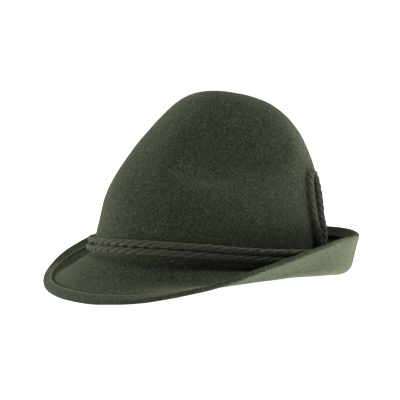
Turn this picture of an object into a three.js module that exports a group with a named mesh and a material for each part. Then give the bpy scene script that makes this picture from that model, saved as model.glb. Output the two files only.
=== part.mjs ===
import * as THREE from 'three';

// A Tyrolean hat of wool felt with a twisted cord round the crown, as it lies on a table.
// Millimetres and degrees. +Z is up, the front of the hat points along -Y and the wearer's left is +X.

// Felt
const feltThickness = 2.2;
const hemWidth = 9.5;         // the brim's edge is turned over onto the upper face by this much
const hemThickness = 2;       // what the turned layer adds to the felt
const restPress = 0.6;        // how far the felt is pressed flat where it lies on the table

// Crown, measured outside
const crownHalfWidth = 85;    // at the foot of the crown
const crownHalfLength = 103;  // at the foot of the crown
const crownHeight = 138;
const crownRoundness = 6;     // power of the curve that closes the top

// Brim
const brimWidth = 57;         // over the felt at the front, from the crown's foot to the edge
const breakWidth = 9;         // the rounded turn from the crown into the brim
const foldStart = 0.25;       // the upward fold begins and ends at these shares of the brim's width
const foldEnd = 0.6;

// Cord, laid to the left
const cordDiameter = 5.8;
const cordStrands = 3;
const cordPitch = 31;         // one full turn of a strand
const cordLift = 0.3;         // from the crown's foot up to the lower round
const cordClearance = 0.3;
const strandHollow = 0.74;    // radius of the hollow between two strands, as a share of the cord's radius
const swellRun = 24;          // the rounds come back to the felt over this length beside the loop

// The cord's loop stands on the crown, twisted tighter than the rounds
const loopAngle = 130;        // degrees from the front, towards the wearer's left
const loopHeight = 74.5;
const loopHalfWidth = 9;
const loopPitch = 19;

// Sections of the crown from foot to top.
// height is a share of crownHeight, front and back of crownHalfLength, side of crownHalfWidth.
const crownSections = [
  { height: 0.00, front: 1.000, back: 1.000, side: 1.00 },
  { height: 0.15, front: 0.966, back: 1.020, side: 0.98 },
  { height: 0.30, front: 0.928, back: 0.972, side: 0.94 },
  { height: 0.45, front: 0.848, back: 0.916, side: 0.88 },
  { height: 0.60, front: 0.724, back: 0.862, side: 0.82 },
  { height: 0.75, front: 0.612, back: 0.798, side: 0.78 },
  { height: 0.90, front: 0.538, back: 0.763, side: 0.78 },
  { height: 1.00, front: 0.555, back: 0.785, side: 0.84 },
];

// The dent pressed into each side of the crown. middle is its angle from the front, and it reaches so many
// degrees towards the front and the back. foot, footRise and run are shares of crownHeight: where it begins at
// its middle, how much higher it begins at its ends, and over how much it deepens. From there it fades out
// towards the top. depth is a share of the crown's half width.
const sideDents = [
  { side: 'left', middle: 69, towardsFront: 50, towardsBack: 58, foot: 0.34, footRise: 0.14, run: 0.22, depth: 0.29 },
  { side: 'right', middle: 69, towardsFront: 50, towardsBack: 58, foot: 0.34, footRise: 0.14, run: 0.22, depth: 0.29 },
];

// Sections of the brim at even angles round the hat: 0 is the front, 90 the wearer's left, 180 the back.
// width is a share of brimWidth. The slopes are degrees above level where it leaves the crown and at the edge.
// cordRise is how far the two rounds of cord climb there, as a share of cordDiameter.
const brimSections = [
  { angle: -150, width: 1.00, rootSlope: -23, edgeSlope: 81, cordRise: 0 },
  { angle: -120, width: 1.00, rootSlope: -21, edgeSlope: 72, cordRise: 0 },
  { angle: -90, width: 1.00, rootSlope: -27, edgeSlope: 64, cordRise: -0.2 },
  { angle: -60, width: 1.08, rootSlope: -50, edgeSlope: 26, cordRise: -0.5 },
  { angle: -30, width: 1.00, rootSlope: -42, edgeSlope: -33, cordRise: -0.75 },
  { angle: 0, width: 0.96, rootSlope: -34, edgeSlope: -58, cordRise: -0.55 },
  { angle: 30, width: 1.00, rootSlope: -49, edgeSlope: -34, cordRise: -0.12 },
  { angle: 60, width: 1.07, rootSlope: -46, edgeSlope: 0, cordRise: 0.06 },
  { angle: 90, width: 1.00, rootSlope: -23, edgeSlope: 36, cordRise: -0.15 },
  { angle: 120, width: 1.00, rootSlope: -13, edgeSlope: 70, cordRise: -0.1 },
  { angle: 150, width: 0.99, rootSlope: -17, edgeSlope: 82, cordRise: 0 },
  { angle: 180, width: 1.04, rootSlope: -14, edgeSlope: 77, cordRise: 0 },
];

// The middle line of the loop. round is a share of loopHalfWidth, measured along the crown from loopAngle
// towards the back. height is a share of loopHeight, from the crown's foot. off is a share of cordDiameter,
// from the cord's own seat on the felt.
const loopRoute = [
  { round: -0.22, height: 0.03, off: 0 },
  { round: -0.24, height: 0.175, off: 0 },
  { round: -0.67, height: 0.32, off: 0.02 },
  { round: -0.93, height: 0.48, off: 0.03 },
  { round: -0.98, height: 0.64, off: 0.03 },
  { round: -0.82, height: 0.8, off: 0.02 },
  { round: -0.53, height: 0.93, off: 0 },
  { round: 0.07, height: 1, off: 0 },
  { round: 0.82, height: 0.955, off: 0.03 },
  { round: 1.02, height: 0.8, off: 0.07 },
  { round: 0.78, height: 0.64, off: 0.07 },
  { round: 0.51, height: 0.48, off: 0.05 },
  { round: 0.44, height: 0.32, off: 0.03 },
  { round: 0.51, height: 0.175, off: 0 },
  { round: 0.56, height: 0.03, off: 0 },
];

// How finely the surfaces are divided
const columnsRound = 64;
const crownRowsOutside = 20;
const crownRowsInside = 10;
const brimRowsAbove = 11;
const brimRowsBelow = 12;
const edgeRows = 3;
const profileStep = 0.5;
const cordStep = 4.8;
const loopStep = 2.6;

// How far to each side a surface is felt for its slope: radians round the hat, and a share of the crown's height
const turnStep = 0.004;
const shareStep = 0.004;

const feltColour = new THREE.Color().setRGB(0.036, 0.043, 0.028);
const cordColour = new THREE.Color().setRGB(0.04, 0.045, 0.032);

const crownMeanRadius = (crownHalfWidth + crownHalfLength) / 2;

const radians = THREE.MathUtils.degToRad;
const smooth = THREE.MathUtils.smoothstep;

// A smooth curve through one column of the crown's table.
function throughSections(sections, place, column) {
  const curve = new THREE.CubicInterpolant(
    sections.map((row) => row[place]), sections.map((row) => row[column]), 1);
  return (share) => curve.evaluate(share)[0];
}

const crownFront = throughSections(crownSections, 'height', 'front');
const crownBack = throughSections(crownSections, 'height', 'back');
const crownSide = throughSections(crownSections, 'height', 'side');

// A smooth curve round the hat through one column of the brim's table. Each section adds a wave that is
// 1 at its own angle and 0 at all the others.
function roundTheHat(column) {
  const count = brimSections.length;
  const waveAt = (turn) => {
    if (Math.abs(Math.sin(turn / 2)) < 1e-6) return 1;
    return Math.sin(count * turn / 2) / (count * Math.tan(turn / 2));
  };
  return (angle) => brimSections.reduce((total, row) => (
    total + row[column] * waveAt(angle - radians(row.angle))), 0);
}

const brimShare = roundTheHat('width');
const brimRootSlope = roundTheHat('rootSlope');
const brimEdgeSlope = roundTheHat('edgeSlope');
const cordRise = roundTheHat('cordRise');

// How much a side dent narrows the crown at an angle and a share of its height.
function dentShare(angle, share) {
  const side = Math.sin(angle) >= 0 ? 'left' : 'right';
  const dent = sideDents.find((row) => row.side === side);
  const fromFront = THREE.MathUtils.radToDeg(Math.acos(Math.cos(angle)));
  const away = fromFront - dent.middle;
  const reach = Math.min(1, Math.abs(away) / (away < 0 ? dent.towardsFront : dent.towardsBack));
  const foot = dent.foot + dent.footRise * reach ** 2;
  const deepest = foot + dent.run;
  return dent.depth * (1 - reach ** 2) ** 2 * smooth(share, foot, deepest) * (1 - smooth(share, deepest, 1));
}

// A point on the crown's outside. The angle is in radians from the front, the share of the height from the foot.
function crownPoint(angle, share) {
  const closing = Math.sqrt(Math.max(0, 1 - share ** crownRoundness));
  const front = crownHalfLength * crownFront(share) * closing;
  const back = crownHalfLength * crownBack(share) * closing;
  const side = crownHalfWidth * crownSide(share) * closing * (1 - dentShare(angle, share));
  return new THREE.Vector3(
    side * Math.sin(angle),
    (back - front) / 2 - (back + front) / 2 * Math.cos(angle),
    crownHeight * share);
}

// The brim's upper face in the upright plane that leaves the crown at an angle: reach and height by distance.
function brimProfile(angle) {
  const width = brimWidth * brimShare(angle);
  const root = brimRootSlope(angle);
  const edge = brimEdgeSlope(angle);
  const steps = Math.ceil(width / profileStep);
  const step = width / steps;
  const profile = [{ reach: 0, height: 0 }];
  for (let index = 0; index < steps; index += 1) {
    const distance = (index + 0.5) * step;
    const folded = smooth(distance, foldStart * width, foldEnd * width);
    const leaving = 1 - smooth(distance, 0, breakWidth);
    const slope = radians(root + (edge - root) * folded + (-90 - root) * leaving);
    const before = profile[index];
    profile.push({
      reach: before.reach + step * Math.cos(slope),
      height: before.height + step * Math.sin(slope),
    });
  }
  return { width, step, profile };
}

const knownProfiles = new Map();

function profileAt(angle) {
  if (!knownProfiles.has(angle)) knownProfiles.set(angle, brimProfile(angle));
  return knownProfiles.get(angle);
}

// A point on the brim's upper face, at a distance over the felt from the crown's foot.
function brimPoint(angle, distance) {
  const { step, profile } = profileAt(angle);
  const index = THREE.MathUtils.clamp(Math.floor(distance / step), 0, profile.length - 2);
  const part = distance / step - index;
  const reach = THREE.MathUtils.lerp(profile[index].reach, profile[index + 1].reach, part);
  const height = THREE.MathUtils.lerp(profile[index].height, profile[index + 1].height, part);
  const outward = new THREE.Vector3(
    Math.sin(angle) / crownHalfWidth, -Math.cos(angle) / crownHalfLength, 0).normalize();
  return new THREE.Vector3(crownHalfWidth * Math.sin(angle), -crownHalfLength * Math.cos(angle), height)
    .addScaledVector(outward, reach);
}

// The outward side of a surface at a point, from its neighbours on both sides.
function facing(surface, angle, along, alongStep, sign) {
  const round = surface(angle + turnStep, along).sub(surface(angle - turnStep, along));
  const onward = surface(angle, along + alongStep).sub(surface(angle, along - alongStep));
  return round.cross(onward).multiplyScalar(sign).normalize();
}

const crownFacing = (angle, share) => facing(crownPoint, angle, Math.min(share, 1 - shareStep), shareStep, 1);
const brimFacing = (angle, distance) => facing(brimPoint, angle, distance, profileStep, -1);

// A layer of the felt, raised from its outer face by lift, or sunk below it where lift is negative.
const crownLayer = (angle, share, lift) => (
  crownPoint(angle, share).addScaledVector(crownFacing(angle, share), lift));
const brimLayer = (angle, distance, lift) => (
  brimPoint(angle, distance).addScaledVector(brimFacing(angle, distance), lift));

// The felt from the top of the crown outside, over the brim, round its edge and back to the top inside.
function feltRow(angle) {
  const { width } = profileAt(angle);
  const row = [];
  for (let index = 1; index < crownRowsOutside; index += 1) {
    row.push(crownLayer(angle, Math.cos(Math.PI / 2 * index / crownRowsOutside), 0));
  }
  for (let index = 0; index <= brimRowsAbove; index += 1) {
    row.push(brimLayer(angle, (width - hemWidth) * index / brimRowsAbove, 0));
  }
  const edgeRadius = (feltThickness + hemThickness) / 2;
  const edgeMiddle = hemThickness - edgeRadius;
  row.push(brimLayer(angle, width - hemWidth + hemThickness / 4, hemThickness));
  for (let index = 0; index <= edgeRows; index += 1) {
    const turned = Math.PI / 2 - Math.PI * index / edgeRows;
    row.push(brimLayer(
      angle, width - edgeRadius + edgeRadius * Math.cos(turned), edgeMiddle + edgeRadius * Math.sin(turned)));
  }
  for (let index = brimRowsBelow - 1; index >= 0; index -= 1) {
    row.push(brimLayer(angle, (width - edgeRadius) * index / brimRowsBelow, -feltThickness));
  }
  for (let index = crownRowsInside - 1; index > 0; index -= 1) {
    row.push(crownLayer(angle, Math.cos(Math.PI / 2 * index / crownRowsInside), -feltThickness));
  }
  return row;
}

// A closed solid from rings of points. first and last are single points that close the two ends;
// without them the last ring joins the first.
function ringSolid(rings, first, last) {
  const around = rings[0].length;
  const points = rings.flat();
  const corners = [];
  const at = (ring, place) => (ring % rings.length) * around + (place % around);
  const joins = first ? rings.length - 1 : rings.length;
  for (let ring = 0; ring < joins; ring += 1) {
    for (let place = 0; place < around; place += 1) {
      corners.push(at(ring, place), at(ring + 1, place), at(ring + 1, place + 1));
      corners.push(at(ring, place), at(ring + 1, place + 1), at(ring, place + 1));
    }
  }
  if (first) {
    const firstIndex = points.push(first) - 1;
    const lastIndex = points.push(last) - 1;
    for (let place = 0; place < around; place += 1) {
      corners.push(firstIndex, at(0, place), at(0, place + 1));
      corners.push(lastIndex, at(rings.length - 1, place + 1), at(rings.length - 1, place));
    }
  }
  const geometry = new THREE.BufferGeometry().setFromPoints(points);
  geometry.setIndex(corners);
  return geometry;
}

function feltGeometry() {
  const rows = Array.from({ length: columnsRound }, (_, column) => feltRow(2 * Math.PI * column / columnsRound));
  const rings = rows[0].map((_, place) => rows.map((row) => row[place]));
  const top = new THREE.Vector3(0, 0, crownHeight);
  const topInside = new THREE.Vector3(0, 0, crownHeight - feltThickness);
  return ringSolid(rings, top, topInside);
}

// The seat of a cord: its middle, and the way out of the felt. The height is above the crown's foot, and a seat
// below the foot lies that far down the brim.
function cordSeat(angle, height, off) {
  const share = Math.max(0, height / crownHeight);
  const distance = Math.max(0, -height);
  const foot = height < 0 ? brimPoint(angle, distance) : crownPoint(angle, share);
  const outward = height < 0 ? brimFacing(angle, distance) : crownFacing(angle, share);
  const middle = foot.addScaledVector(outward, cordDiameter / 2 + cordClearance + off);
  return { middle, outward };
}

// One ring of the cord's section: its strands, with a hollow between each two.
function cordRing(middle, outward, onward, turned) {
  const sideways = new THREE.Vector3().crossVectors(outward, onward).normalize();
  const upright = new THREE.Vector3().crossVectors(onward, sideways).normalize();
  const strandRadius = cordDiameter / 2;
  const hollowRadius = strandRadius * strandHollow;
  return Array.from({ length: 2 * cordStrands }, (_, corner) => {
    const angle = turned + Math.PI / cordStrands * corner;
    const radius = corner % 2 === 0 ? strandRadius : hollowRadius;
    return middle.clone()
      .addScaledVector(upright, radius * Math.cos(angle))
      .addScaledVector(sideways, radius * Math.sin(angle));
  });
}

// The rounds of cord swell out where the loop's ends lie behind them.
function swell(angle) {
  const distance = Math.abs(angle - radians(loopAngle)) * crownMeanRadius;
  const behind = loopHalfWidth + cordDiameter / 2;
  return (cordDiameter + cordClearance) * (1 - smooth(distance, behind, behind + swellRun));
}

function roundOfCord(height) {
  const length = 2 * Math.PI * (crownMeanRadius + cordDiameter / 2);
  const steps = Math.round(length / cordStep);
  const turns = Math.round(length / cordPitch);
  const seat = (angle) => cordSeat(angle, height + cordDiameter * cordRise(angle), swell(angle));
  const rings = Array.from({ length: steps }, (_, index) => {
    const angle = 2 * Math.PI * index / steps;
    const { middle, outward } = seat(angle);
    const onward = seat(angle + turnStep).middle.sub(seat(angle - turnStep).middle).normalize();
    return cordRing(middle, outward, onward, 2 * Math.PI * turns * index / steps);
  });
  return ringSolid(rings);
}

function loopOfCord() {
  const seats = loopRoute.map(({ round, height, off }) => {
    const angle = radians(loopAngle) + round * loopHalfWidth / crownMeanRadius;
    return cordSeat(angle, height * loopHeight, off * cordDiameter);
  });
  const middleLine = new THREE.CatmullRomCurve3(seats.map((seat) => seat.middle));
  const outwardLine = new THREE.CatmullRomCurve3(seats.map((seat) => seat.outward));
  const length = middleLine.getLength();
  const steps = Math.round(length / loopStep);
  const rings = Array.from({ length: steps + 1 }, (_, index) => {
    const along = middleLine.getUtoTmapping(index / steps);
    return cordRing(
      middleLine.getPoint(along), outwardLine.getPoint(along), middleLine.getTangent(along),
      2 * Math.PI * length / loopPitch * index / steps);
  });
  return ringSolid(rings, seats[0].middle, seats[seats.length - 1].middle);
}

// The tilt at which the front edge and the rear fold touch the table together.
function restingTilt(positions) {
  const lowest = (tilt, front) => {
    let low = Infinity;
    for (let index = 0; index < positions.count; index += 1) {
      const y = positions.getY(index);
      if ((y < 0) === front) low = Math.min(low, positions.getZ(index) * Math.cos(tilt) - y * Math.sin(tilt));
    }
    return low;
  };
  let least = radians(-30);
  let most = radians(30);
  for (let halving = 0; halving < 40; halving += 1) {
    const tilt = (least + most) / 2;
    if (lowest(tilt, true) < lowest(tilt, false)) least = tilt;
    else most = tilt;
  }
  return (least + most) / 2;
}

function pressFlat(positions) {
  for (let index = 0; index < positions.count; index += 1) {
    positions.setZ(index, Math.max(0, positions.getZ(index)));
  }
}

function cloth(colour, roughness) {
  return new THREE.MeshStandardMaterial({ color: colour, roughness, metalness: 0 });
}

function named(name, geometry, material) {
  const mesh = new THREE.Mesh(geometry, material);
  mesh.name = name;
  return mesh;
}

const lowerHeight = cordLift + cordDiameter / 2;
const upperHeight = lowerHeight + cordDiameter + cordClearance;
const felt = cloth(feltColour, 0.95);
const cord = cloth(cordColour, 0.9);
const pieces = [
  named('felt_body', feltGeometry(), felt),
  named('cord_lower', roundOfCord(lowerHeight), cord),
  named('cord_upper', roundOfCord(upperHeight), cord),
  named('cord_loop', loopOfCord(), cord),
];

// Laid down on the table, with the middle of its box over the origin.
const feltSurface = pieces[0].geometry;
const tilt = restingTilt(feltSurface.getAttribute('position'));
pieces.forEach((piece) => piece.geometry.applyMatrix4(new THREE.Matrix4().makeRotationX(-tilt)));
feltSurface.computeBoundingBox();
const { min, max } = feltSurface.boundingBox;
const toTable = new THREE.Matrix4().makeTranslation(
  -(min.x + max.x) / 2, -(min.y + max.y) / 2, -min.z - restPress);
pieces.forEach((piece) => piece.geometry.applyMatrix4(toTable));
pressFlat(feltSurface.getAttribute('position'));
pieces.forEach((piece) => piece.geometry.computeVertexNormals());

const hat = new THREE.Group();
hat.add(...pieces);

export default hat;
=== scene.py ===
# %% [markdown]
# # A Tyrolean hat in wool felt
# A Tyrolean hat is one piece of shaped felt: a tall crown with a dent pressed into each side, and a brim
# that turns down in front and up at the back. Two rounds of twisted cord lie at the foot of the crown,
# and a narrow loop of the same cord stands at the rear left. The plain model already has every size and
# place. This lesson gives it fine surfaces, fibres, yarns and light, and leaves its size alone.

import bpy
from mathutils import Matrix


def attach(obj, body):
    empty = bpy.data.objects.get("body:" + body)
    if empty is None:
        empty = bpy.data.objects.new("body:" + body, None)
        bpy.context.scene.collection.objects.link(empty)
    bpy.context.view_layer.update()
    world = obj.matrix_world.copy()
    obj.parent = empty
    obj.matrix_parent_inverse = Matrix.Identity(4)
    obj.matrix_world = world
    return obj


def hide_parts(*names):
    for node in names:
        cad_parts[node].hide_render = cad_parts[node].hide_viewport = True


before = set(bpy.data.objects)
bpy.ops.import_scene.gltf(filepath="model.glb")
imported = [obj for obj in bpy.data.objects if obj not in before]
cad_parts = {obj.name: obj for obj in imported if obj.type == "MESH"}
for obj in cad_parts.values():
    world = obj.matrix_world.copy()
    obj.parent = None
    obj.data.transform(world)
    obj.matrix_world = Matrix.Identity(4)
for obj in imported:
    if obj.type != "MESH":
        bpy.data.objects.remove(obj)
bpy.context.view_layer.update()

# %% [markdown]
# ## Sizes of the hat
# A hatter works from a wooden block and a few measures. The same measures stand here in millimetres, as
# on a plan, and they are turned into metres only when a mesh is made. Sections of the crown and of the
# brim stand in tables whose columns are shares of those measures, so that a form can be read and changed
# row by row.

# %% Write down the measures
import bpy
import numpy as np
from mathutils import Matrix, Vector

MM = 0.001

# Millimetres. The fold's start and end are shares of the brim's width, and the loop's angle is in degrees.
FELT_THICKNESS = 2.2
HEM_WIDTH = 9.5
HEM_THICKNESS = 2.0
CROWN_HALF_WIDTH = 85
CROWN_HALF_LENGTH = 103
CROWN_HEIGHT = 138
CROWN_ROUNDNESS = 6
BRIM_WIDTH = 57
BREAK_WIDTH = 9
FOLD_START = 0.25
FOLD_END = 0.6
CORD_DIAMETER = 5.8
CORD_PITCH = 31
LOOP_PITCH = 19
CORD_LIFT = 0.3
CORD_CLEARANCE = 0.3
LOOP_ANGLE = 130
LOOP_HEIGHT = 74.5
LOOP_HALF_WIDTH = 9
SWELL_RUN = 24
MEAN_RADIUS = (CROWN_HALF_WIDTH + CROWN_HALF_LENGTH) / 2

# %% Write down the sections of the crown
# Height is a share of the crown's height, front and back of its half length, side of its half width.
CROWN_SECTIONS = {
    "height": np.array([0.00, 0.15, 0.30, 0.45, 0.60, 0.75, 0.90, 1.00]),
    "front": np.array([1.000, 0.966, 0.928, 0.848, 0.724, 0.612, 0.538, 0.555]),
    "back": np.array([1.000, 1.020, 0.972, 0.916, 0.862, 0.798, 0.763, 0.785]),
    "side": np.array([1.00, 0.98, 0.94, 0.88, 0.82, 0.78, 0.78, 0.84]),
}

# The dent in each side. Angles are degrees from the front, heights are shares of the crown's height, and
# the depth is a share of the half width. The crease takes its part of the depth at one height, which
# rises to both sides.
SIDE_DENT = {
    "middle": 69, "towards_front": 50, "towards_back": 58,
    "foot": 0.34, "foot_rise": 0.14, "run": 0.22, "depth": 0.29,
    "crease_middle": 62, "crease_side": 30, "crease": 0.437, "crease_rise": 0.075,
    "crease_half": 0.035, "crease_part": 0.45,
}
print("crown sections", len(CROWN_SECTIONS["height"]))

# %% Write down the sections of the brim
# Each row is the angle round the hat from the front towards the wearer's left, the width as a share of
# the brim's width, the slope in degrees where the brim leaves the crown and at its edge, and how far the
# cords rise there, as a share of the cord's diameter.
BRIM_SECTIONS = np.array([
    (-150, 1.00, -23, 81, 0.00),
    (-120, 1.00, -21, 72, 0.00),
    (-90, 1.00, -27, 64, -0.20),
    (-60, 1.08, -50, 26, -0.50),
    (-30, 1.00, -42, -33, -0.75),
    (0, 0.96, -34, -58, -0.55),
    (30, 1.00, -49, -34, -0.12),
    (60, 1.07, -46, 0, 0.06),
    (90, 1.00, -23, 36, -0.15),
    (120, 1.00, -13, 70, -0.10),
    (150, 0.99, -17, 82, 0.00),
    (180, 1.04, -14, 77, 0.00),
])
print("brim sections", len(BRIM_SECTIONS))

# %% [markdown]
# ## The shape as a formula
# The felt could be sculpted by hand, or a coarse mesh could be smoothed. A formula is chosen here,
# because the plain model was made with the same one: the fine felt then lies where the plain felt lies,
# at any number of rows. Only the dent is crisper here: its soft hollow has a narrow crease at its foot,
# which catches the light. Every function takes whole arrays, so one row of the hat is made in one call.

# %% Curves through the sections
def smooth(value, start, end):
    """0 before start, 1 after end, and a soft step between."""
    share = np.clip((value - start) / (end - start), 0, 1)
    return share * share * (3 - 2 * share)


def between(first, second, leaving, arriving, part):
    """A smooth way from first to second that leaves and arrives with the given slopes."""
    eased = 3 * part**2 - 2 * part**3
    return (first * (1 - eased) + second * eased
            + leaving * (part - 2 * part**2 + part**3) + arriving * (part**3 - part**2))


def unit(vectors):
    """The same directions, each with a length of one."""
    return vectors / np.linalg.norm(vectors, axis=-1, keepdims=True)


def crown_curve(column, share):
    """A smooth curve through one column of the crown's sections, each with the mean slope of its sides."""
    heights = CROWN_SECTIONS["height"]
    values = CROWN_SECTIONS[column]
    slopes = np.diff(values) / np.diff(heights)
    tangents = np.concatenate([slopes[:1], (slopes[:-1] + slopes[1:]) / 2, slopes[-1:]])
    place = np.clip(np.searchsorted(heights, share, side="right") - 1, 0, len(heights) - 2)
    gap = heights[place + 1] - heights[place]
    part = (share - heights[place]) / gap
    return between(values[place], values[place + 1], gap * tangents[place], gap * tangents[place + 1], part)


def round_the_hat(column, angle):
    """A smooth curve round the hat. Each section adds a wave, 1 at its own angle and 0 at the others."""
    count = len(BRIM_SECTIONS)
    turn = np.asarray(angle)[..., None] - np.radians(BRIM_SECTIONS[:, 0])
    near = np.abs(np.sin(turn / 2)) < 1e-6
    safe = np.where(near, 1.0, turn)
    wave = np.sin(count * safe / 2) / (count * np.tan(safe / 2))
    return np.where(near, 1.0, wave) @ BRIM_SECTIONS[:, column]


print("crown's side at mid height", float(crown_curve("side", 0.5)))
print("brim's width share at 45 degrees", float(round_the_hat(1, np.radians(45))))

# %% Points of the crown and of the brim
PROFILE_STEPS = 150


def dent_share(angle, share):
    """How much a side dent narrows the crown."""
    from_front = np.degrees(np.arccos(np.cos(angle)))
    away = from_front - SIDE_DENT["middle"]
    span = np.where(away < 0, SIDE_DENT["towards_front"], SIDE_DENT["towards_back"])
    reach = np.minimum(1, np.abs(away) / span)
    foot = SIDE_DENT["foot"] + SIDE_DENT["foot_rise"] * reach**2
    deepest = foot + SIDE_DENT["run"]
    fading = (1 - reach**2)**2
    beside = (from_front - SIDE_DENT["crease_middle"]) / SIDE_DENT["crease_side"]
    crease = SIDE_DENT["crease"] + SIDE_DENT["crease_rise"] * beside**2
    step = smooth(share, crease - SIDE_DENT["crease_half"], crease + SIDE_DENT["crease_half"])
    part = SIDE_DENT["crease_part"]
    hollow = (1 - part) * smooth(share, foot, deepest) + part * step
    return SIDE_DENT["depth"] * fading * hollow * (1 - smooth(share, deepest, 1))


def crown_point(angle, share):
    """Points on the outside of the crown, by angle round the hat and share of the height."""
    share = np.broadcast_to(share, np.shape(angle))
    closing = np.sqrt(np.maximum(0, 1 - share**CROWN_ROUNDNESS))
    front = CROWN_HALF_LENGTH * crown_curve("front", share) * closing
    back = CROWN_HALF_LENGTH * crown_curve("back", share) * closing
    side = CROWN_HALF_WIDTH * crown_curve("side", share) * closing * (1 - dent_share(angle, share))
    return np.stack([
        side * np.sin(angle),
        (back - front) / 2 - (back + front) / 2 * np.cos(angle),
        CROWN_HEIGHT * share], axis=-1)


def brim_width(angle):
    return BRIM_WIDTH * round_the_hat(1, angle)


def brim_profile(angle):
    """Reach and height of the brim's upper face along the felt, in the upright plane at each angle."""
    step = brim_width(angle)[:, None] / PROFILE_STEPS
    share = (np.arange(PROFILE_STEPS) + 0.5) / PROFILE_STEPS
    root = round_the_hat(2, angle)[:, None]
    edge = round_the_hat(3, angle)[:, None]
    leaving = 1 - smooth(share * PROFILE_STEPS * step, 0, BREAK_WIDTH)
    slope = root + (edge - root) * smooth(share, FOLD_START, FOLD_END) + (-90 - root) * leaving
    reach = np.cumsum(step * np.cos(np.radians(slope)), axis=1)
    height = np.cumsum(step * np.sin(np.radians(slope)), axis=1)
    start = np.zeros((len(angle), 1))
    return np.hstack([start, reach]), np.hstack([start, height])


def brim_point(angle, distance):
    """Points on the brim's upper face, by angle and by distance over the felt from the crown's foot."""
    reach, height = brim_profile(angle)
    place = distance / brim_width(angle) * PROFILE_STEPS
    index = np.clip(np.floor(place).astype(int), 0, PROFILE_STEPS - 1)
    part = place - index
    row = np.arange(len(angle))
    out = reach[row, index] * (1 - part) + reach[row, index + 1] * part
    up = height[row, index] * (1 - part) + height[row, index + 1] * part
    away = unit(np.stack([np.sin(angle) / CROWN_HALF_WIDTH, -np.cos(angle) / CROWN_HALF_LENGTH], axis=-1))
    return np.stack([
        CROWN_HALF_WIDTH * np.sin(angle) + out * away[:, 0],
        -CROWN_HALF_LENGTH * np.cos(angle) + out * away[:, 1],
        up], axis=-1)


corner = np.array([np.radians(60)])
print("crown at 60 degrees, half way up", crown_point(corner, 0.5)[0].round(2))
print("brim's edge at 60 degrees", brim_point(corner, brim_width(corner))[0].round(2))

# %% [markdown]
# ## Layers of the felt
# Felt has a thickness, and at the brim's edge it is turned over onto its upper face and fixed there. Both
# are layers: the outer face moved along its own outward side. That side comes from four neighbours of
# each point. A hat shaped by hand over a block is never quite even either, so a few long shallow waves
# move both faces together by a fraction of a millimetre.

# %% Layers of the crown and of the brim
# How far away the four neighbours are: radians round the hat, share of the height, and millimetres of brim.
TURN_STEP = 0.004
SHARE_STEP = 0.004
BRIM_STEP = 0.5

# Length of each wave over the felt in millimetres, its direction, and its height in millimetres.
HAND_WAVES = [
    (61, (0.8, 0.5, 0.3), 0.22),
    (43, (-0.4, 0.7, 0.6), 0.16),
    (29, (0.5, -0.3, 0.8), 0.09),
    (19, (0.6, 0.7, -0.4), 0.05),
]


def facing(surface, angle, along, along_step, sign):
    """The outward side of a surface."""
    across = surface(angle + TURN_STEP, along) - surface(angle - TURN_STEP, along)
    onward = surface(angle, along + along_step) - surface(angle, along - along_step)
    return unit(sign * np.cross(across, onward))


def unevenness(points):
    """The shallow waves that a hatter's hands leave."""
    total = np.zeros(len(points))
    for length, direction, height in HAND_WAVES:
        total += height * np.sin(2 * np.pi / length * (points @ np.array(direction)) + length)
    return total


def layer(surface, step, sign, angle, along, lift):
    """Points raised from the outer face by lift, or sunk below it where lift is negative."""
    along = np.broadcast_to(along, np.shape(angle)).astype(float)
    inner = np.minimum(along, 1 - SHARE_STEP) if surface is crown_point else along
    points = surface(angle, along)
    out = facing(surface, angle, inner, step, sign)
    return points + out * (lift + unevenness(points))[:, None]


def crown_layer(angle, share, lift):
    return layer(crown_point, SHARE_STEP, 1, angle, share, lift)


def brim_layer(angle, distance, lift):
    return layer(brim_point, BRIM_STEP, -1, angle, distance, lift)


print("inside of the crown's foot", brim_layer(corner, 0, -FELT_THICKNESS)[0].round(2))

# %% [markdown]
# ## The felt
# The real felt is one skin: over the crown, down into the brim, round the turned-over edge, and back
# along the inside. The mesh follows it in the same order, as one closed surface of rings. The edge of the
# turned layer is cut, not folded, so it gets a short steep step with a soft top, and it wanders a little
# as hand work does. Along the cut a paler band is painted on as a highlight, where light would catch the
# step: the mesh carries a number there, which the felt's material reads.

# %% Rows of the felt, from the top outside to the top inside
FELT_COLUMNS = 288
CROWN_ROWS_OUTSIDE = 112
CROWN_ROWS_INSIDE = 50
BRIM_ROWS_ABOVE = 38
BRIM_ROWS_BELOW = 40
HEM_ROWS = 8
EDGE_ROWS = 12
HEM_FIRST_ROW = 0.15   # share of the hem's width

# Rows of the cut edge: millimetres along the felt, and share of the hem's height.
CUT_EDGE = [(0.05, 0.25), (0.12, 0.6), (0.25, 0.86), (0.55, 0.98)]

# How the cut wanders: millimetres, waves round the brim, and where each wave starts.
HEM_WANDER = [(0.3, 5, 1), (0.2, 11, 0)]


def hem_width(angle):
    width = HEM_WIDTH
    for size, waves, start in HEM_WANDER:
        width = width + size * np.sin(waves * angle + start)
    return width


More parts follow.
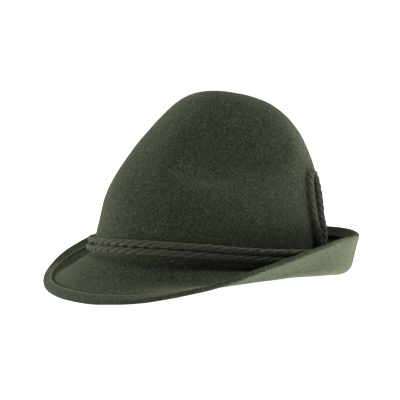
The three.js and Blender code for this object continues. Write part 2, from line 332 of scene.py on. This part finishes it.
def felt_rows(angle):
    """Rings of points from the crown's top, over the outside and round the hem, to the top inside."""
    width = brim_width(angle)
    hem_start = width - hem_width(angle)
    edge_radius = (FELT_THICKNESS + HEM_THICKNESS) / 2
    edge_start = width - edge_radius
    rows = []
    for share in np.cos(np.pi / 2 * np.arange(1, CROWN_ROWS_OUTSIDE) / CROWN_ROWS_OUTSIDE):
        rows.append(crown_layer(angle, share, 0))
    for share in np.linspace(0, 1, BRIM_ROWS_ABOVE):
        rows.append(brim_layer(angle, hem_start * share, 0))
    for along, rise in CUT_EDGE:
        rows.append(brim_layer(angle, hem_start + along, HEM_THICKNESS * rise))
    for share in np.linspace(HEM_FIRST_ROW, 1, HEM_ROWS):
        rows.append(brim_layer(angle, hem_start + (edge_start - hem_start) * share, HEM_THICKNESS))
    for turned in np.pi / 2 - np.pi * np.arange(1, EDGE_ROWS + 1) / EDGE_ROWS:
        lift = HEM_THICKNESS - edge_radius + edge_radius * np.sin(turned)
        rows.append(brim_layer(angle, edge_start + edge_radius * np.cos(turned), lift))
    for share in np.linspace(1, 0, BRIM_ROWS_BELOW, endpoint=False)[1:]:
        rows.append(brim_layer(angle, edge_start * share, -FELT_THICKNESS))
    rows.append(brim_layer(angle, 0, -FELT_THICKNESS))
    for share in np.cos(np.pi / 2 * np.arange(CROWN_ROWS_INSIDE - 1, 0, -1) / CROWN_ROWS_INSIDE):
        rows.append(crown_layer(angle, share, -FELT_THICKNESS))
    return np.array(rows)


angles = 2 * np.pi * np.arange(FELT_COLUMNS) / FELT_COLUMNS
felt_rings = felt_rows(angles)
print("felt rings", len(felt_rings), "of", FELT_COLUMNS, "points")

# %% [markdown]
# ## Laying the hat on the table
# The hat is drawn upright round the foot of its crown. On a table it leans back until the front edge and
# the fold at the back both touch. The plain model found that lean, and the fine hat takes the same one,
# so that every piece ends up where the plain model has it.

# %% Lean the hat back and set it down
LEAN = 7.21
CROWN_FOOT = Vector((-5.11, 1.51, 24.98)) * MM   # the middle of the crown's foot, on the table
lean = Matrix.Rotation(np.radians(-LEAN), 4, "X")
to_table = Matrix.Translation(CROWN_FOOT) @ lean


def on_table(points):
    """Turns millimetres in the upright hat into metres on the table."""
    turn = np.array(to_table.to_3x3())
    return (np.asarray(points) * MM) @ turn.T + np.array(to_table.translation)


print("crown's foot lies at", tuple(round(value, 5) for value in CROWN_FOOT))

# %% [markdown]
# ## From rings to closed meshes
# Felt and cord are both rows of rings, so one helper joins them with four-sided faces. The felt's rings
# end in a point at the crown's top, outside and inside. A round of cord has no end, so its last ring is
# joined to its first. Subdivision isn't needed: the formula already gives enough rows for a smooth
# surface.

# %% Make closed meshes from rings
def ring_mesh(name, rings, first=None, last=None):
    """A mesh from rings of points. Two end points close it, and without them it closes on itself."""
    count, around = rings.shape[:2]
    points = rings.reshape(-1, 3)
    joins = count - 1 if first is not None else count
    ring = np.arange(joins)[:, None]
    place = np.arange(around)[None, :]
    beside = (place + 1) % around
    below = (ring + 1) % count
    corners = [
        ring * around + place, below * around + place,
        below * around + beside, ring * around + beside]
    faces = np.stack(corners, axis=-1).reshape(-1, 4).tolist()
    if first is not None:
        points = np.vstack([points, first, last])
        top = count * around
        for index in range(around):
            after = (index + 1) % around
            faces.append([top, index, after])
            faces.append([top + 1, (count - 1) * around + after, (count - 1) * around + index])
    mesh = bpy.data.meshes.new(name)
    mesh.from_pydata(points.tolist(), [], faces)
    mesh.shade_smooth()
    piece = bpy.data.objects.new(name, mesh)
    bpy.context.scene.collection.objects.link(piece)
    return piece


# %% Make the felt
def middle_of(ring):
    """The point that closes a mesh beyond its first or last ring."""
    return ring.mean(axis=0)


felt_points = on_table(felt_rings)
felt_points[..., 2] = np.maximum(felt_points[..., 2], 0)   # the hand waves don't press through the table
felt = ring_mesh("felt", felt_points, middle_of(felt_points[0]), middle_of(felt_points[-1]))

# The painted highlight along the raw edge is 1 from the second row of the cut to the first row on top of
# the hem.
rows_before_cut = CROWN_ROWS_OUTSIDE - 1 + BRIM_ROWS_ABOVE
raw_start = (rows_before_cut + 1) * FELT_COLUMNS
raw_end = raw_start + len(CUT_EDGE) * FELT_COLUMNS
raw_edge_highlight = np.zeros(len(felt.data.vertices), dtype=np.float32)
raw_edge_highlight[raw_start:raw_end] = 1
felt.data.attributes.new("raw_edge_highlight", "FLOAT", "POINT").data.foreach_set("value", raw_edge_highlight)
print("raw edge on", int(raw_edge_highlight.sum()), "points")

# %% Put the felt in place of the plain felt
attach(felt, "root")
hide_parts("felt_body")
print("felt", len(felt.data.polygons), "faces, box", tuple(felt_points.reshape(-1, 3).min(0).round(4)),
      tuple(felt_points.reshape(-1, 3).max(0).round(4)))

# %% [markdown]
# ## The cord
# The cord is three strands laid round each other to the left, and each strand is four yarns twisted the
# other way, which is what keeps a cord from coming undone. A pattern on a smooth tube would look painted
# from the side, so the strands and yarns are real forms: each strand winds round the cord's middle line,
# and its section has one bulge for each yarn.

# %% The cord's middle line on the crown
# Millimetres. The widening and the yarns' depth are shares of a strand's radius.
STRANDS = 3
STRAND_OFFSET = 1.55
STRAND_RADIUS = 1.36
STRAND_WIDENING = 1.16
YARNS = 4
YARN_DEPTH = 0.05
YARN_PITCH = 8.5
CORD_SIDES = 16
CORD_STEP = 1.0


def cord_seat(angle, height, off):
    """The cord's middle and the way out of the felt. A height below 0 is a way out over the brim."""
    share = np.maximum(0, height / CROWN_HEIGHT)
    distance = np.maximum(0, -height)
    on_brim = (height < 0)[:, None]
    outward = np.where(
        on_brim, facing(brim_point, angle, distance, BRIM_STEP, -1),
        facing(crown_point, angle, share, SHARE_STEP, 1))
    foot = np.where(on_brim, brim_point(angle, distance), crown_point(angle, share))
    return foot + outward * (CORD_DIAMETER / 2 + CORD_CLEARANCE + off)[:, None], outward


def slopes_along(points, closed):
    """The direction of a line of points at each of them."""
    if closed:
        onward = np.roll(points, -1, axis=0) - np.roll(points, 1, axis=0)
    else:
        onward = np.gradient(points, axis=0)
    return unit(onward)


# %% Strands round the middle line
def strand_rings(middle, outward, turned, travelled, closed):
    """Rings of one strand. turned is its angle round the cord and travelled the length from the start."""
    onward = slopes_along(middle, closed)
    sideways = unit(np.cross(outward, onward))
    upright = np.cross(onward, sideways)
    radial = np.cos(turned)[:, None] * upright + np.sin(turned)[:, None] * sideways
    centre = middle + STRAND_OFFSET * radial
    along = slopes_along(centre, closed)
    across = unit(np.cross(radial, along))
    radial = np.cross(along, across)
    section = 2 * np.pi * np.arange(CORD_SIDES) / CORD_SIDES
    yarn_turn = 2 * np.pi * travelled / YARN_PITCH
    swelling = 1 + YARN_DEPTH * np.cos(YARNS * section[None, :] + yarn_turn[:, None])
    radius = STRAND_RADIUS * swelling[..., None] / (1 + YARN_DEPTH)
    return (centre[:, None]
            + radius * np.cos(section)[None, :, None] * radial[:, None]
            + radius * STRAND_WIDENING * np.sin(section)[None, :, None] * across[:, None])


def cord_piece(name, middle, outward, turns, closed, node):
    """A cord of several strands as one piece in place of its plain solid."""
    steps = len(middle)
    share = np.arange(steps) / (steps if closed else steps - 1)
    length = np.linalg.norm(np.diff(middle, axis=0), axis=-1).sum()
    yarn_turns = max(1, round(length / YARN_PITCH)) * YARN_PITCH
    strands = []
    for strand in range(STRANDS):
        turned = 2 * np.pi * (turns * share + strand / STRANDS)
        rings = on_table(strand_rings(middle, outward, turned, yarn_turns * share, closed))
        ends = (None, None) if closed else (middle_of(rings[0]), middle_of(rings[-1]))
        strands.append(ring_mesh(name, rings, *ends))
    piece = strands[0]
    with bpy.context.temp_override(active_object=piece, selected_editable_objects=strands):
        bpy.ops.object.join()
    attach(piece, "root")
    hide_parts(node)
    print(name, "length", round(float(length), 1), "mm,", len(piece.data.polygons), "faces")
    return piece


# %% [markdown]
# ### Two rounds and a loop
# The two rounds lie on the felt one above the other. The loop stands behind them with its ends tucked
# under, so both rounds swell out there by one cord's thickness. The loop's middle line is a short list of
# places on the crown: how far round from its own angle as a share of the loop's half width, how high as a
# share of its height, and how far off the felt as a share of the cord's diameter.

# %% Lay the two rounds
LOOP_ROUTE = np.array([
    (-0.22, 0.03, 0),
    (-0.24, 0.175, 0),
    (-0.67, 0.32, 0.02),
    (-0.93, 0.48, 0.03),
    (-0.98, 0.64, 0.03),
    (-0.82, 0.8, 0.02),
    (-0.53, 0.93, 0),
    (0.07, 1, 0),
    (0.82, 0.955, 0.03),
    (1.02, 0.8, 0.07),
    (0.78, 0.64, 0.07),
    (0.51, 0.48, 0.05),
    (0.44, 0.32, 0.03),
    (0.51, 0.175, 0),
    (0.56, 0.03, 0),
])


def swell(angle):
    """How far the rounds stand off the felt over the loop's ends."""
    half = LOOP_HALF_WIDTH + CORD_DIAMETER / 2
    away = np.abs(angle - np.radians(LOOP_ANGLE)) * MEAN_RADIUS
    return (CORD_DIAMETER + CORD_CLEARANCE) * (1 - smooth(away, half, half + SWELL_RUN))


def round_of_cord(name, height, node):
    """One closed round of cord, by its height above the crown's foot."""
    length = 2 * np.pi * (MEAN_RADIUS + CORD_DIAMETER / 2)
    angle = np.linspace(0, 2 * np.pi, round(length / CORD_STEP), endpoint=False)
    middle, outward = cord_seat(angle, height + CORD_DIAMETER * round_the_hat(4, angle), swell(angle))
    return cord_piece(name, middle, outward, round(length / CORD_PITCH), True, node)


lower_height = CORD_LIFT + CORD_DIAMETER / 2
upper_height = lower_height + CORD_DIAMETER + CORD_CLEARANCE
lower_cord = round_of_cord("lower_cord", lower_height, "cord_lower")
upper_cord = round_of_cord("upper_cord", upper_height, "cord_upper")

# %% Stand the loop behind them
LOOP_RINGS = 220
PLACES_PER_ROW = 40


def through_points(points, steps):
    """A smooth line through the rows of a short table, with even steps over its first three columns."""
    place = np.linspace(0, len(points) - 1, PLACES_PER_ROW * len(points))
    index = np.clip(place.astype(int), 0, len(points) - 2)
    part = (place - index)[:, None]
    tangents = np.gradient(points, axis=0)
    line = between(points[index], points[index + 1], tangents[index], tangents[index + 1], part)
    travelled = np.concatenate([[0], np.linalg.norm(np.diff(line[:, :3], axis=0), axis=-1).cumsum()])
    even = np.linspace(0, travelled[-1], steps)
    return np.stack([np.interp(even, travelled, column) for column in line.T], axis=-1)


loop_round, loop_height, loop_off = LOOP_ROUTE.T * [[LOOP_HALF_WIDTH], [LOOP_HEIGHT], [CORD_DIAMETER]]
seats = cord_seat(np.radians(LOOP_ANGLE) + loop_round / MEAN_RADIUS, loop_height, loop_off)
loop_line = through_points(np.hstack(seats), LOOP_RINGS)
loop_length = np.linalg.norm(np.diff(loop_line[:, :3], axis=0), axis=-1).sum()
loop = cord_piece(
    "loop_cord", loop_line[:, :3], unit(loop_line[:, 3:]), loop_length / LOOP_PITCH, False, "cord_loop")
loop_corners = np.array([vertex.co for vertex in loop.data.vertices])
print("fine loop", loop_corners.min(0).round(4), loop_corners.max(0).round(4))

# %% [markdown]
# ## Wool
# Felt and cord are wool of mixed colours: grey-green ground, pale hairs and nearly black hairs, tangled
# at random. One node group makes that mixture from three noises in the object's own space, so that it
# needs no unwrapping and stays put in every view. It gives out masks and a height, and each material
# mixes its own colours with them. The dark hairs lie in broader tufts than the pale ones.

# %% The mixed wool node group
# A hair shows where its noise is high: faintly from the start value, and fully from the full one.
HAIR_DETAIL = 4.0
HAIR_ROUGHNESS = 0.6
HAIR_DISTORTION = 1.6
HAIR_STARTS = 0.53
HAIR_IS_FULL = 0.64
PATCH_DETAIL = 2.0

# Kind of hair, where its noise lies in metres, and its share of the hair scale.
HAIRS = [("Pale", (0, 0, 0), 1), ("Dark", (0.37, 0.11, 0.23), 0.65)]


def add_node(tree, kind, place, **settings):
    node = tree.nodes.new(kind)
    node.location = place
    for name, value in settings.items():
        setattr(node, name, value)
    return node


def mixed_wool_group():
    """Masks of pale and dark hairs, slow patches, and the nap's height."""
    tree = bpy.data.node_groups.new("Mixed wool", "ShaderNodeTree")
    sockets = (("Hair Scale", 900.0), ("Patch Scale", 45.0), ("Pale Amount", 0.5), ("Dark Amount", 0.5))
    for name, default in sockets:
        socket = tree.interface.new_socket(name=name, in_out="INPUT", socket_type="NodeSocketFloat")
        socket.default_value = default
    for name in ("Pale Hairs", "Dark Hairs", "Patches", "Nap"):
        tree.interface.new_socket(name=name, in_out="OUTPUT", socket_type="NodeSocketFloat")
    inputs = add_node(tree, "NodeGroupInput", (-900, 0))
    outputs = add_node(tree, "NodeGroupOutput", (700, 0))
    where = add_node(tree, "ShaderNodeTexCoord", (-900, -300))
    noises = {}
    for index, (name, shift, scale) in enumerate(HAIRS):
        level = 250 - 350 * index
        moved = add_node(tree, "ShaderNodeVectorMath", (-650, level), operation="ADD")
        moved.inputs[1].default_value = shift
        tree.links.new(where.outputs["Object"], moved.inputs[0])
        size = add_node(tree, "ShaderNodeMath", (-650, level - 200), operation="MULTIPLY")
        size.inputs[1].default_value = scale
        tree.links.new(inputs.outputs["Hair Scale"], size.inputs[0])
        noise = add_node(tree, "ShaderNodeTexNoise", (-450, level))
        noise.inputs["Detail"].default_value = HAIR_DETAIL
        noise.inputs["Roughness"].default_value = HAIR_ROUGHNESS
        noise.inputs["Distortion"].default_value = HAIR_DISTORTION
        tree.links.new(moved.outputs[0], noise.inputs["Vector"])
        tree.links.new(size.outputs[0], noise.inputs["Scale"])
        mask = add_node(tree, "ShaderNodeMapRange", (-200, level))
        mask.inputs["From Min"].default_value = HAIR_STARTS
        mask.inputs["From Max"].default_value = HAIR_IS_FULL
        tree.links.new(noise.outputs["Fac"], mask.inputs["Value"])
        amount = add_node(tree, "ShaderNodeMath", (50, level), operation="MULTIPLY")
        tree.links.new(mask.outputs["Result"], amount.inputs[0])
        tree.links.new(inputs.outputs[name + " Amount"], amount.inputs[1])
        tree.links.new(amount.outputs[0], outputs.inputs[name + " Hairs"])
        noises[name] = noise
    patches = add_node(tree, "ShaderNodeTexNoise", (-450, -450))
    patches.inputs["Detail"].default_value = PATCH_DETAIL
    tree.links.new(where.outputs["Object"], patches.inputs["Vector"])
    tree.links.new(inputs.outputs["Patch Scale"], patches.inputs["Scale"])
    tree.links.new(patches.outputs["Fac"], outputs.inputs["Patches"])
    nap = add_node(tree, "ShaderNodeMath", (50, -300), operation="SUBTRACT")
    tree.links.new(noises["Pale"].outputs["Fac"], nap.inputs[0])
    tree.links.new(noises["Dark"].outputs["Fac"], nap.inputs[1])
    tree.links.new(nap.outputs[0], outputs.inputs["Nap"])
    return tree


mixed_wool = mixed_wool_group()
print("mixed wool group with", len(mixed_wool.nodes), "nodes")

# %% [markdown]
# ### Three wool materials
# Wool is matte, but its loose fibres catch light that grazes it, so edges seen from the side look paler
# than the middle. The shader's sheen does that. The felt has a darker ground and stronger flecks than the
# cords, and the loop is a shade greyer than the rounds, so the three materials use the node group with
# values of their own. At the raw edge the felt's material mixes in some of the pale hair colour as a
# painted highlight, by the number that the mesh carries there.

# %% How wool is lit
WOOL_ROUGHNESS = 0.95
WOOL_GLOSS = 0.15
SHEEN_WEIGHT = 0.3
SHEEN_ROUGHNESS = 0.25
SHEEN_TINT = (0.94, 1.0, 0.54)
NAP_STRENGTH = 0.8
PATCH_SHADE = 0.86
# How much pale colour the painted highlight along the felt's cut edge mixes in.
RAW_EDGE_HIGHLIGHT = 0.45


def wool_shader(material):
    """The matte shader of wool, with its sheen."""
    material.use_nodes = True
    shader = material.node_tree.nodes["Principled BSDF"]
    shader.inputs["Roughness"].default_value = WOOL_ROUGHNESS
    shader.inputs["Specular IOR Level"].default_value = WOOL_GLOSS
    shader.inputs["Sheen Weight"].default_value = SHEEN_WEIGHT
    shader.inputs["Sheen Roughness"].default_value = SHEEN_ROUGHNESS
    shader.inputs["Sheen Tint"].default_value = (*SHEEN_TINT, 1)
    return shader


print("sheen", SHEEN_WEIGHT, "tinted", SHEEN_TINT)

# %% Felt and cord materials
def edge_highlight_mask(tree, attribute):
    """The mask of a painted highlight, from a number that the mesh carries."""
    highlight_attribute = add_node(tree, "ShaderNodeAttribute", (-500, 500), attribute_name=attribute)
    painted_highlight = add_node(tree, "ShaderNodeMath", (-300, 500), operation="MULTIPLY")
    painted_highlight.inputs[1].default_value = RAW_EDGE_HIGHLIGHT
    tree.links.new(highlight_attribute.outputs["Fac"], painted_highlight.inputs[0])
    return painted_highlight.outputs[0]


def wool_material(name, ground, pale, dark, hair_scale, pale_amount, dark_amount, nap_depth, painted_highlight=None):
    """A wool of three colours. nap_depth is in millimetres, and the last argument names the number on the
    mesh where a paler band is painted as a highlight.
    """
    material = bpy.data.materials.new(name)
    shader = wool_shader(material)
    tree = material.node_tree
    wool = add_node(tree, "ShaderNodeGroup", (-900, 0), node_tree=mixed_wool)
    wool.inputs["Hair Scale"].default_value = hair_scale
    wool.inputs["Pale Amount"].default_value = pale_amount
    wool.inputs["Dark Amount"].default_value = dark_amount
    layers = [
        (wool.outputs["Patches"], [PATCH_SHADE * value for value in ground]),
        (wool.outputs["Pale Hairs"], pale),
        (wool.outputs["Dark Hairs"], dark),
    ]
    # Where the mesh carries its number, a painted highlight mixes in the pale colour.
    if painted_highlight is not None:
        layers.append((edge_highlight_mask(tree, painted_highlight), pale))
    below = None
    for index, (mask, colour) in enumerate(layers):
        mix = add_node(tree, "ShaderNodeMix", (-600 + 200 * index, 200), data_type="RGBA")
        mix.inputs["A"].default_value = (*ground, 1)
        mix.inputs["B"].default_value = (*colour, 1)
        tree.links.new(mask, mix.inputs["Factor"])
        if below is not None:
            tree.links.new(below, mix.inputs["A"])
        below = mix.outputs["Result"]
    tree.links.new(below, shader.inputs["Base Color"])
    bump = add_node(tree, "ShaderNodeBump", (-300, -300))
    bump.inputs["Strength"].default_value = NAP_STRENGTH
    bump.inputs["Distance"].default_value = nap_depth * MM
    tree.links.new(wool.outputs["Nap"], bump.inputs["Height"])
    tree.links.new(bump.outputs["Normal"], shader.inputs["Normal"])
    return material


# The felt's cut edge gets a painted highlight.
felt_wool = wool_material(
    "felt wool", ground=(0.039, 0.050, 0.031), pale=(0.165, 0.182, 0.118), dark=(0.007, 0.009, 0.007),
    hair_scale=820, pale_amount=0.8, dark_amount=0.85, nap_depth=0.5, painted_highlight="raw_edge_highlight")
cord_wool = wool_material(
    "cord wool", ground=(0.086, 0.094, 0.070), pale=(0.22, 0.23, 0.165), dark=(0.018, 0.020, 0.015),
    hair_scale=900, pale_amount=0.6, dark_amount=0.7, nap_depth=0.3)
loop_wool = wool_material(
    "loop wool", ground=(0.090, 0.090, 0.076), pale=(0.24, 0.24, 0.19), dark=(0.018, 0.018, 0.016),
    hair_scale=900, pale_amount=0.6, dark_amount=0.7, nap_depth=0.3)
felt.data.materials.append(felt_wool)
for piece, wool in ((lower_cord, cord_wool), (upper_cord, cord_wool), (loop, loop_wool)):
    piece.data.materials.clear()
    piece.data.materials.append(wool)
print("materials", [wool.name for wool in (felt_wool, cord_wool, loop_wool)])

# %% [markdown]
# ## Studio
# The hat was photographed in a white tent: light comes from the floor, the sides, the back and the top,
# and least from where the camera stands. A tent could be built round the hat, but its walls would stand
# in the way of other views. A wide white floor that glows beside the hat's back, a few soft lights and a
# pale surround do the same.

# %% Floor
# Metres. The glow has one strength in its middle and another beyond its reach, and the camera sees a third.
FLOOR_HALF = 40.0
FLOOR_GAP = 0.0002
FLOOR_GREY = 0.9
FLOOR_ROUGHNESS = 0.9
GLOW_MIDDLE = (0.15, 0.11, 0)
GLOW_REACH = 0.26
GLOW_NEAR = 3.6
GLOW_FAR = 0.12
FLOOR_SEEN = 1.15
WHITE = (1, 1, 1, 1)


def floor_material():
    """White paper, lit most beside the hat's back. The camera sees all of it as plain white."""
    material = bpy.data.materials.new("white floor")
    material.use_nodes = True
    tree = material.node_tree
    shader = tree.nodes["Principled BSDF"]
    shader.inputs["Base Color"].default_value = (FLOOR_GREY, FLOOR_GREY, FLOOR_GREY, 1)
    shader.inputs["Roughness"].default_value = FLOOR_ROUGHNESS
    shader.inputs["Emission Color"].default_value = WHITE
    where = add_node(tree, "ShaderNodeTexCoord", (-900, 0))
    away = add_node(tree, "ShaderNodeVectorMath", (-700, 0), operation="DISTANCE")
    away.inputs[1].default_value = GLOW_MIDDLE
    tree.links.new(where.outputs["Object"], away.inputs[0])
    glow = add_node(tree, "ShaderNodeMapRange", (-500, 0), interpolation_type="SMOOTHSTEP")
    glow.inputs["From Max"].default_value = GLOW_REACH
    glow.inputs["To Min"].default_value = GLOW_NEAR
    glow.inputs["To Max"].default_value = GLOW_FAR
    tree.links.new(away.outputs["Value"], glow.inputs["Value"])
    ray = add_node(tree, "ShaderNodeLightPath", (-500, 300))
    seen = add_node(tree, "ShaderNodeMix", (-250, 100))
    seen.inputs["B"].default_value = FLOOR_SEEN
    tree.links.new(ray.outputs["Is Camera Ray"], seen.inputs["Factor"])
    tree.links.new(glow.outputs["Result"], seen.inputs["A"])
    tree.links.new(seen.outputs["Result"], shader.inputs["Emission Strength"])
    return material


floor_mesh = bpy.data.meshes.new("floor")
floor_mesh.from_pydata(
    [(-FLOOR_HALF, -FLOOR_HALF, 0), (FLOOR_HALF, -FLOOR_HALF, 0),
     (FLOOR_HALF, FLOOR_HALF, 0), (-FLOOR_HALF, FLOOR_HALF, 0)], [], [(0, 1, 2, 3)])
floor = bpy.data.objects.new("floor", floor_mesh)
floor.location.z = -FLOOR_GAP
floor_mesh.materials.append(floor_material())
bpy.context.scene.collection.objects.link(floor)
print("floor", 2 * FLOOR_HALF, "m wide")

# %% [markdown]
# ### Camera
# The camera stands at the hat's front left, a little above its brim. Trying views by hand would take many
# tries, so it was fitted to the outline of the hat in the photograph: the way it looks, its scale, and
# where the middle of the crown's foot lies in the picture.

# %% Place the camera
# Degrees, metres, and millimetres for the sensor.
CAMERA_AZIMUTH = 61.994
CAMERA_ELEVATION = 5.003
CAMERA_DISTANCE = 1.6
CAMERA_LEAN = LEAN - 4.42     # the hat in the photograph leans back by 4.42 degrees
CAMERA_SHIFT = (-0.008158, 0.044244)   # metres right of and above the middle of the crown's foot
PIXELS_PER_MM = 1.165
IMAGE_WIDTH = 400
SENSOR = 36

azimuth = np.radians(CAMERA_AZIMUTH)
elevation = np.radians(CAMERA_ELEVATION)
back = Vector((
    np.sin(azimuth) * np.cos(elevation),
    -np.cos(azimuth) * np.cos(elevation),
    np.sin(elevation)))
right = Vector((np.cos(azimuth), np.sin(azimuth), 0))
above = back.cross(right)
turn = Matrix.Rotation(np.radians(-CAMERA_LEAN), 3, "X")
axes = [turn @ axis for axis in (right, above, back)]
camera_data = bpy.data.cameras.new("camera")
camera_data.sensor_width = SENSOR
camera_data.lens = SENSOR * PIXELS_PER_MM * CAMERA_DISTANCE / MM / IMAGE_WIDTH
camera = bpy.data.objects.new("camera", camera_data)
place = CROWN_FOOT + axes[2] * CAMERA_DISTANCE + axes[0] * CAMERA_SHIFT[0] + axes[1] * CAMERA_SHIFT[1]
camera.matrix_world = Matrix.Translation(place) @ Matrix(axes).transposed().to_4x4()
bpy.context.scene.collection.objects.link(camera)
bpy.context.scene.camera = camera
print("camera at", tuple(round(value, 3) for value in place), "lens", round(camera_data.lens, 1))

# %% [markdown]
# ### Lights
# Five rectangles of light stand round the hat. The steep top light is what shows the dent: it lights the
# crease and leaves the hollow above it dark. The low ones on the left and at the rear right light the
# edges, and the one in front is weak, because a light beside the camera would flatten everything. The
# surround adds very little light, but the camera sees it as white.

# %% Five soft lights
LIGHT_AIM = (0, 0, 0.07)

# Name, place and size in metres, power in watts.
SOFT_LIGHTS = [
    ("top light", (0.1, 0.1, 1.5), (0.5, 0.5), 12),
    ("upper right light", (0.3, 0.85, 1.1), (0.5, 0.5), 5),
    ("low front light", (1.35, -0.72, 0.15), (1.0, 0.3), 2),
    ("left light", (-0.95, -1.25, 0.12), (1.0, 0.2), 25),
    ("rear right light", (-0.1, 1.5, 0.3), (1.0, 0.6), 10),
]

for name, place, size, power in SOFT_LIGHTS:
    data = bpy.data.lights.new(name, "AREA")
    data.shape = "RECTANGLE"
    data.size, data.size_y = size
    data.energy = power
    light = bpy.data.objects.new(name, data)
    light.location = place
    light.rotation_euler = (Vector(LIGHT_AIM) - Vector(place)).to_track_quat("-Z", "Y").to_euler()
    bpy.context.scene.collection.objects.link(light)
print("lights", [item.name for item in bpy.data.lights])

# %% White surround
TENT_LIGHT = 0.02
TENT_SEEN = 1.5

world = bpy.data.worlds.new("white tent")
bpy.context.scene.world = world
world.use_nodes = True
tent = world.node_tree
surround = tent.nodes["Background"]
surround.inputs["Color"].default_value = WHITE
surround.inputs["Strength"].default_value = TENT_LIGHT
seen = add_node(tent, "ShaderNodeBackground", (0, 200))
seen.inputs["Color"].default_value = WHITE
seen.inputs["Strength"].default_value = TENT_SEEN
ray = add_node(tent, "ShaderNodeLightPath", (-200, 400))
either = add_node(tent, "ShaderNodeMixShader", (250, 300))
tent.links.new(ray.outputs["Is Camera Ray"], either.inputs["Fac"])
tent.links.new(surround.outputs[0], either.inputs[1])
tent.links.new(seen.outputs[0], either.inputs[2])
tent.links.new(either.outputs[0], tent.nodes["World Output"].inputs["Surface"])
bpy.context.scene.view_settings.view_transform = "Standard"
print("surround", TENT_LIGHT, "for the hat and", TENT_SEEN, "for the camera")
